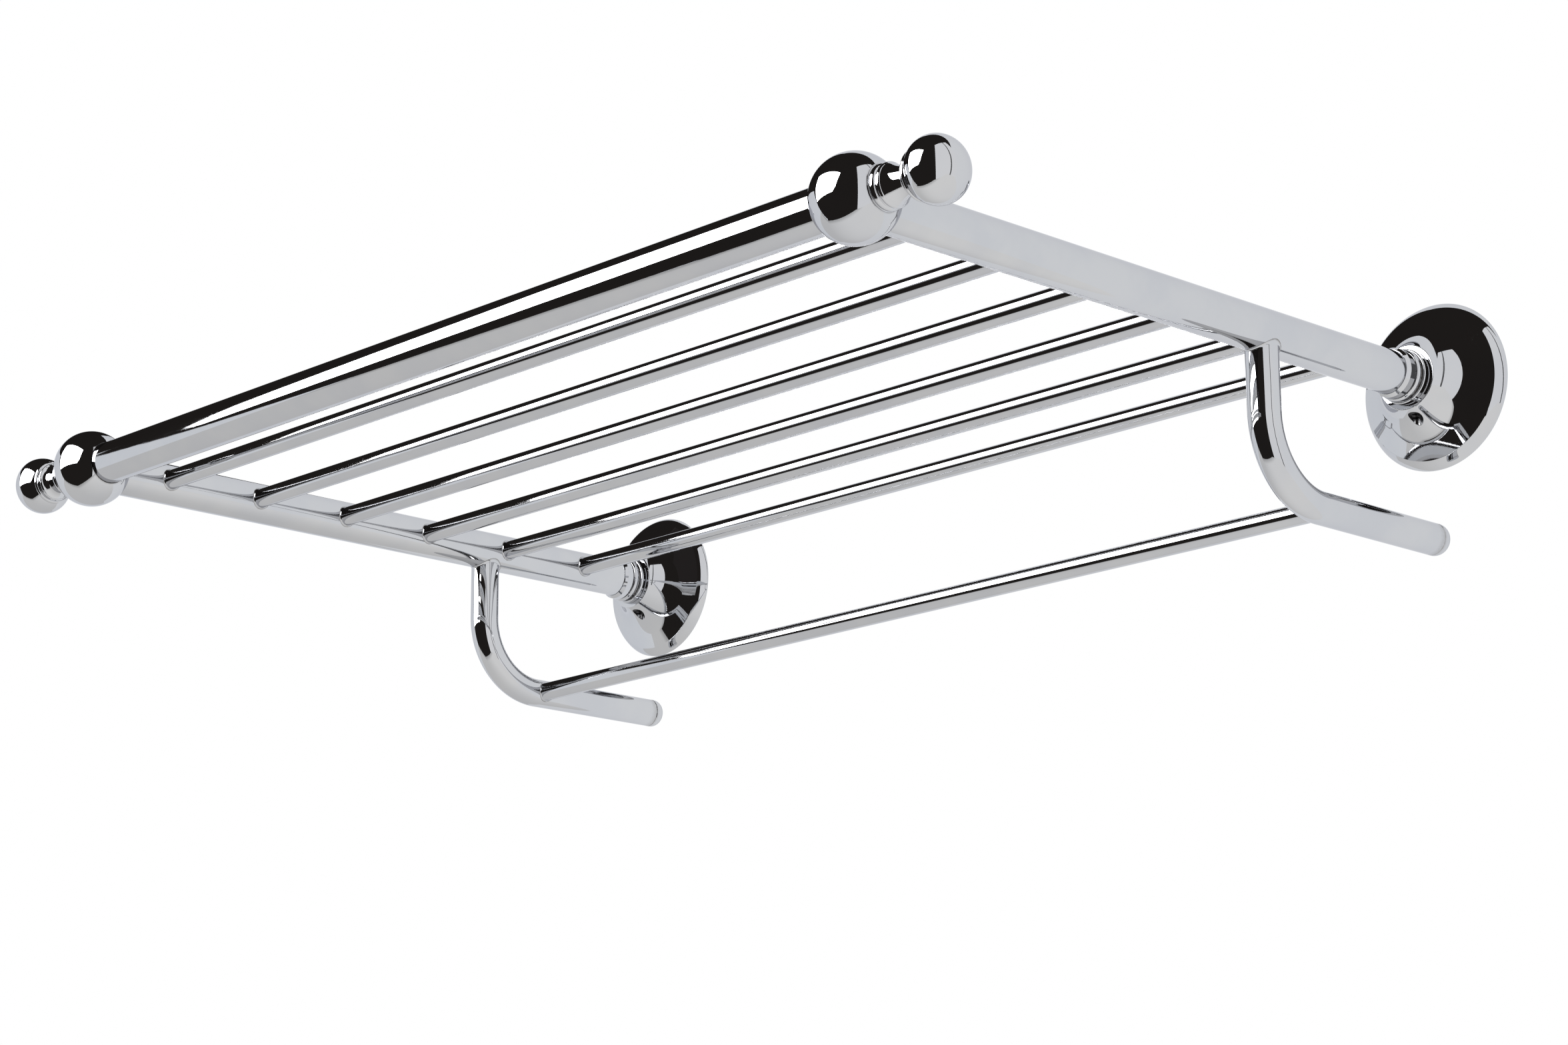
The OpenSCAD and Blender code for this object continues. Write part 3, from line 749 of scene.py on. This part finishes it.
# --------------------------------------------------------- ferrule and flange
def ferrule_profile():
    h, a = HUB_U, -ARM_Y1                  # hub front, and where the arm begins
    p = Profile(FER_U0, 0.0)
    p.line(FER_U0, 8.0)
    p.line(h, 8.0)
    p.line(h, 11.5)
    # seam values for painted crevice shade and tarnish at the hub step and in the grooves
    p.seam[-1] = 1.0
    p.oval(h + 0.5, 11.5, 0.5, 0.5, 180, 90, 6, seam=0.0)
    p.line(h + 2.3, 12.0)
    p.oval(h + 2.3, 11.3, 0.65, 0.7, 90, 0, 8)
    p.line(h + 2.95, 10.6, seam=1.0)
    p.line(h + 3.8, 10.5, seam=1.0)
    p.oval(h + 5.3, 10.45, 1.5, 0.98, 178, 2, 24)
    p.line(h + 6.8, 10.3, seam=1.0)
    p.line(h + 7.5, 10.3, seam=1.0)
    p.poly([(h + 7.5, 10.85, 0.25), (a - 1.5, 10.85, 0.5), (a - 0.25, 9.9, 0.3), (a, 9.7)])
    p.line(a, ARM_R - 1.25, seam=1.0)
    p.line(a + 11.0, ARM_R - 1.25)
    p.line(FER_U1, ARM_R - 2.25)
    p.line(FER_U1, 0.0)
    p.line(FER_U0, 0.0)
    return p


# the bell: a rounded shoulder, a crest, a shallow cone, a flare and the hub
S12, C12 = math.sin, math.cos
D2R = math.radians
HUB_R, HUB_EDGE, BELL_R, BELL_T, DISH_T = 14.3, 0.5, 22.0, 72.0, 23.0
CREST_R, CREST_T, SHOULDER_R, SHOULDER_T = 1.2, 42.0, 12.4, 66.0
BELL_TOP = HUB_U - HUB_EDGE * (1 - C12(D2R(BELL_T)))


def bell(t):
    t = D2R(t)
    return (BELL_TOP - BELL_R * (C12(t) - C12(D2R(BELL_T))), HUB_R + BELL_R * (S12(D2R(BELL_T)) - S12(t)))


def flange_profile():
    k_r = FL_R - 3.55
    b_u, b_r = bell(DISH_T)
    k_u = b_u - math.tan(D2R(DISH_T)) * (k_r - b_r)
    p = Profile(0.0, FL_R)
    cu, cr = k_u - CREST_R * C12(D2R(DISH_T)), k_r - CREST_R * S12(D2R(DISH_T))
    su = cu + (CREST_R - SHOULDER_R) * C12(D2R(CREST_T))
    sr = cr + (CREST_R - SHOULDER_R) * S12(D2R(CREST_T))
    e_u, e_r = su + SHOULDER_R * C12(D2R(SHOULDER_T)), sr + SHOULDER_R * S12(D2R(SHOULDER_T))
    p.line(0.12, FL_R)
    t = np.linspace(0, 1, 7)               # small rounding at the wall
    n0, n1 = np.array([0.0, 1.0]), np.array([C12(D2R(SHOULDER_T)), S12(D2R(SHOULDER_T))])
    q = np.stack([0.12 + (e_u - 0.12) * t, FL_R - (FL_R - e_r) * t ** 1.7], 1)
    nn = unit(n0[None] * (1 - t)[:, None] + n1[None] * t[:, None])
    p._add(q, nn)
    p.lean(su, sr, SHOULDER_R, SHOULDER_T, CREST_T, 24)
    p.lean(cu, cr, CREST_R, CREST_T, DISH_T, 10)
    p.line(b_u + (k_u - b_u) * 0.5, b_r + (k_r - b_r) * 0.5)
    p.line(b_u, b_r)
    first = len(p.p) - 1
    p.lean(BELL_TOP + BELL_R * C12(D2R(BELL_T)), HUB_R + BELL_R * S12(D2R(BELL_T)), -BELL_R, DISH_T, BELL_T, 72)
    last = len(p.p) - 1
    p.lean(HUB_U - HUB_EDGE, HUB_R - HUB_EDGE * S12(D2R(BELL_T)), HUB_EDGE, BELL_T, 0, 12)
    p.line(HUB_U, 11.9)
    # seam value for painted crevice shade and tarnish at the hub face's inner step
    p.line(HUB_U, 8.05, seam=1.0)
    p.line(18.75, 8.05)
    p.line(18.75, 11.05)
    q = np.array([bell(v) for v in np.linspace(53, DISH_T, 20)]) - [2.4, 1.6]
    p.line(q[0][0] + 0.4, 11.05)
    p.line(*q[0])
    p.curve(q)
    p.line(2.9, FL_R - 5.4)
    p.line(0.8, FL_R - 3.0)
    p.line(0.0, FL_R - 3.0)
    p.line(0.0, FL_R)
    return p, (first, last)


for s, side in ((1, "right"), (-1, "left")):
    o = (s * HALF, 0, 0)
    f_ = turned("arm_ferrule_turning_" + side, ferrule_profile(), o, -Y, 160)
    piece(f_, M_TURN, "turned", "arm_ferrule_" + side)
    fp, span = flange_profile()
    w = turned("wall_flange_bell_" + side, fp, o, -Y, 192,
               hole={"u": GRUB_U, "r": GRUB_R + 0.05, "k": (38, 58), "j": span, "floor": 11.5})
    piece(w, M_FLAN, "flange", "wall_flange_" + side)

# ------------------------------------------------- CAD nodes that stay as built
for n, m in (
    ("finial_tie_rod_left", M_STEEL), ("finial_tie_rod_right", M_STEEL),
    ("arm_stud_left", M_STEEL), ("arm_stud_right", M_STEEL),
    ("rail_insert_left", M_BRASS), ("rail_insert_right", M_BRASS),
    ("arm_insert_left", M_BRASS), ("arm_insert_right", M_BRASS),
    ("wall_plate_left", M_PLATE), ("wall_plate_right", M_PLATE),
    ("flange_grub_screws", M_GRUB),
):
    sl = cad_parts[n].material_slots
    for k in range(len(sl)):
        sl[k].material = m


# ------------------------------------------------------------------- camera
cam_data = bpy.data.cameras.new("camera")
cam = bpy.data.objects.new("camera", cam_data)
SC.collection.objects.link(cam)
SC.camera = cam
cam_data.sensor_fit = "HORIZONTAL"
cam_data.sensor_width = 36.0
cam_data.lens = 5228.36 / 2352 * 36.0
cam_data.clip_start, cam_data.clip_end = 0.01, 100.0
right = Vector((0.69267, 0.72121, -0.00787)).normalized()
back = Vector((0.69695, -0.6721, -0.25008))
back = (back - right * back.dot(right)).normalized()
up = back.cross(right)
cam.matrix_world = Matrix((
    (right.x, up.x, back.x, 1.092207),
    (right.y, up.y, back.y, -1.203464),
    (right.z, up.z, back.z, -0.430169),
    (0, 0, 0, 1),
))


# ------------------------------------------------------------------- studio
def glow(name, color, strength):
    """A card's even light."""
    m = bpy.data.materials.new(name)
    m.use_nodes = True
    nt = m.node_tree
    nt.nodes.clear()
    out = nt.nodes.new("ShaderNodeOutputMaterial")
    em = nt.nodes.new("ShaderNodeEmission")
    em.inputs["Color"].default_value = (*color, 1)
    em.inputs["Strength"].default_value = strength
    nt.links.new(em.outputs[0], out.inputs["Surface"])
    return m


def card(name, pts, mat, glossy_only=True):
    """A flat or folded studio card through rows of points."""
    pts = np.asarray(pts, float)
    rows, cols = pts.shape[:2]
    me = bpy.data.meshes.new(name)
    faces = [(j * cols + i, j * cols + i + 1, (j + 1) * cols + i + 1, (j + 1) * cols + i)
             for j in range(rows - 1) for i in range(cols - 1)]
    me.from_pydata([tuple(p) for p in pts.reshape(-1, 3)], [], faces)
    me.materials.append(mat)
    ob = bpy.data.objects.new(name, me)
    SC.collection.objects.link(ob)
    if glossy_only:
        ob.visible_camera = False
        ob.visible_diffuse = False
        ob.visible_shadow = False
        ob.visible_transmission = False
        ob.visible_volume_scatter = False
    return ob


world = bpy.data.worlds.new("studio")
SC.world = world
world.use_nodes = True
bg = world.node_tree.nodes["Background"] if "Background" in world.node_tree.nodes else world.node_tree.nodes.new("ShaderNodeBackground")
bg.inputs["Color"].default_value = (1, 1, 1, 1)
bg.inputs["Strength"].default_value = 1.0

# plain pale floor
fm = bpy.data.materials.new("floor")
nt, bs = nodes_of(fm)
tc = nt.nodes.new("ShaderNodeTexCoord")
nt.links.new(mixrgb(nt, noise(nt, tc.outputs["Object"], 3.0, 2.0), (0.895, 0.895, 0.895), (0.915, 0.915, 0.915)), bs.inputs["Base Color"])
bs.inputs["Roughness"].default_value = 0.9
bs.inputs["Specular IOR Level"].default_value = 0.1
floor = card("floor", [[(-14, -14, -0.62), (14, -14, -0.62)], [(-14, 14, -0.62), (14, 14, -0.62)]], fm, False)
floor.visible_glossy = False

# What the polished metal sees: a dark room in front and overhead, a large soft
# window light in it, and white cards behind, beside and below the rack.
def sheet(name, a, b, c, d, mat, n=2):
    """A card through four corners, a-b along the bottom and c-d along the top."""
    a, b, c, d = (np.array(v, float) for v in (a, b, c, d))
    t = np.linspace(0, 1, n)
    return card(name, [[(a + (b - a) * v) + ((c + (d - c) * v) - (a + (b - a) * v)) * w for v in t] for w in t], mat)


T_Z, T_Y, B_Y, L_X, R_X = -0.50, -0.69, 0.30, -1.30, 1.50
DARK = glow("dark_room", (1.0, 0.87, 0.80), 0.020)
WHITE_BACK = glow("white_back", (0.965, 0.98, 1.0), 1.0)
WHITE_SIDE = glow("white_side", (0.98, 0.985, 1.0), 1.0)
WHITE_LEFT = glow("white_left", (0.94, 0.965, 1.0), 0.98)
WHITE_TABLE = glow("white_table", (1.0, 0.995, 0.985), 1.0)
CORNER_X, CORNER_SLOPE = -0.36, 0.62       # where the table's front edge turns, and how far


def table_light(mat):
    """The white table is dimmer at its far end and fades out at its front edge."""
    nt = mat.node_tree
    tc = nt.nodes.new("ShaderNodeTexCoord")
    sp = nt.nodes.new("ShaderNodeSeparateXYZ")
    nt.links.new(tc.outputs["Object"], sp.inputs[0])
    along = maprange(nt, sp.outputs["X"], -0.5, 0.35, 0.77, 0.97, True)
    past = math2(nt, "MAXIMUM", math2(nt, "SUBTRACT", CORNER_X, sp.outputs["X"]), 0.0)
    inside = math2(nt, "ADD", math2(nt, "SUBTRACT", sp.outputs["Y"], T_Y), math2(nt, "MULTIPLY", past, CORNER_SLOPE))
    edge = maprange(nt, inside, 0.0, 0.12, 0.64, 1.0, True)
    em = next(n for n in nt.nodes if n.type == "EMISSION")
    nt.links.new(math2(nt, "MULTIPLY", along, edge), em.inputs["Strength"])


table_light(WHITE_TABLE)


def dome(az0, az1, el0, el1, radius, na=40, ne=24, centre=(0.0, -0.354, 0.0)):
    """A patch of a sphere by azimuth (0 towards -Y, 90 towards +X) and elevation."""
    rows = []
    for e_ in np.linspace(0, 1, ne):
        el = math.radians(el0 + (el1 - el0) * e_)
        rows.append([(centre[0] + radius * math.sin(math.radians(a)) * math.cos(el),
                      centre[1] - radius * math.cos(math.radians(a)) * math.cos(el),
                      centre[2] + radius * math.sin(el)) for a in np.linspace(az0, az1, na)])
    return rows


card("dark_room_shell", dome(-180, 180, -90, 90, 5.0, 64, 32), DARK)
card("white_table_card", [[(L_X, T_Y - CORNER_SLOPE * (CORNER_X - L_X), T_Z), (CORNER_X, T_Y, T_Z), (0.60, T_Y, T_Z), (R_X, -0.38, T_Z)],
                          [(L_X, 0.75, T_Z), (CORNER_X, 0.75, T_Z), (0.60, 0.75, T_Z), (R_X, 0.75, T_Z)]], WHITE_TABLE)
sheet("white_back_left", (L_X, 0.70, T_Z), (-0.75, B_Y, T_Z), (L_X, 0.70, 1.00), (-0.75, B_Y, 1.00), WHITE_BACK)
sheet("white_back_card", (-0.75, B_Y, T_Z), (R_X, B_Y, T_Z), (-0.75, B_Y, 1.54), (R_X, B_Y, 1.54), WHITE_BACK)
sheet("white_side_card", (R_X, -1.36, -2.0), (R_X, -0.185, -2.0), (R_X, -1.36, 2.9), (R_X, -0.185, 2.9), WHITE_SIDE)
sheet("white_side_card_rear", (R_X, -0.10, -2.0), (R_X, B_Y, -2.0), (R_X, -0.10, 2.9), (R_X, B_Y, 2.9), WHITE_SIDE)
sheet("grey_gap_card", (R_X + 0.01, -0.21, -2.0), (R_X + 0.01, -0.06, -2.0), (R_X + 0.01, -0.21, 2.9), (R_X + 0.01, -0.06, 2.9), glow("grey_gap", (1, 1, 1), 0.16))
left_front = [(-1.30, -1.20), (-1.28, -0.50), (-1.25, -0.30), (-1.22, -0.10), (-1.19, 0.05), (-1.15, 0.19), (-1.07, 0.32), (-0.95, 0.48), (-0.90, 0.56)]
card("white_left_card", [[(L_X, y, z), (L_X, 0.7, z)] for y, z in left_front], WHITE_LEFT)

# the window light: an upright plane through wl and wr, its edges given as
# distance along that plane and height
wl, wr = np.array([-1.44, -1.35]), np.array([0.09, -1.64])
wd = unit(wr - wl)
w_left = [(0.00, 0.03), (-0.10, 0.45), (-0.28, 0.85), (-0.38, 1.15), (-0.50, 1.50), (-0.68, 1.88)]
w_right = [(1.48, 0.09), (1.66, 0.34), (1.72, 0.62), (1.76, 0.92), (1.78, 1.14), (1.78, 1.36)]
window = card("window_light", [[(*(wl + wd * q[0]), q[1]) for q in pair] for pair in zip(w_left, w_right)],
              glow("window_glow", (1.0, 1.0, 1.0), 7.0))

# a clear sheet just in front of it, with the dark room's own faint light, for
# the one piece that does not see the window
veil_mat = glow("dark_room_veil", (1.0, 0.87, 0.84), 0.026)
nt = veil_mat.node_tree
clear, both = nt.nodes.new("ShaderNodeBsdfTransparent"), nt.nodes.new("ShaderNodeAddShader")
nt.links.new(next(n for n in nt.nodes if n.type == "EMISSION").outputs[0], both.inputs[0])
nt.links.new(clear.outputs[0], both.inputs[1])
nt.links.new(both.outputs[0], next(n for n in nt.nodes if n.type == "OUTPUT_MATERIAL").inputs["Surface"])
fwd = np.array([-wd[1], wd[0]]) * 0.01
card("window_veil", [[(*(wl + wd * q[0] + fwd), q[1]) for q in pair] for pair in zip(w_left, w_right)], veil_mat)

# a flag keeps the window light off the left flange, which stays dark
flag = bpy.data.collections.new("flag")
flag.objects.link(bpy.data.objects["wall_flange_bell_left"])
window.light_linking.receiver_collection = flag
flag.collection_objects[0].light_linking.link_state = "EXCLUDE"

soft = bpy.data.lights.new("soft_key", "AREA")
soft.shape = "RECTANGLE"
soft.size, soft.size_y = 1.56, 1.45
soft.energy = 9.0
key = bpy.data.objects.new("soft_key", soft)
SC.collection.objects.link(key)
mid = Vector(((wl[0] + wr[0]) / 2, (wl[1] + wr[1]) / 2, 0.82))
key.location = mid
key.rotation_mode = "QUATERNION"
key.rotation_quaternion = (mid - Vector((0, -0.2, -0.3))).to_track_quat("Z", "Y")
key.visible_glossy = False
key.visible_camera = False

SC.view_settings.view_transform = "Standard"
SC.view_settings.look = "None"
SC.view_settings.exposure = 0.0
SC.view_settings.gamma = 1.0
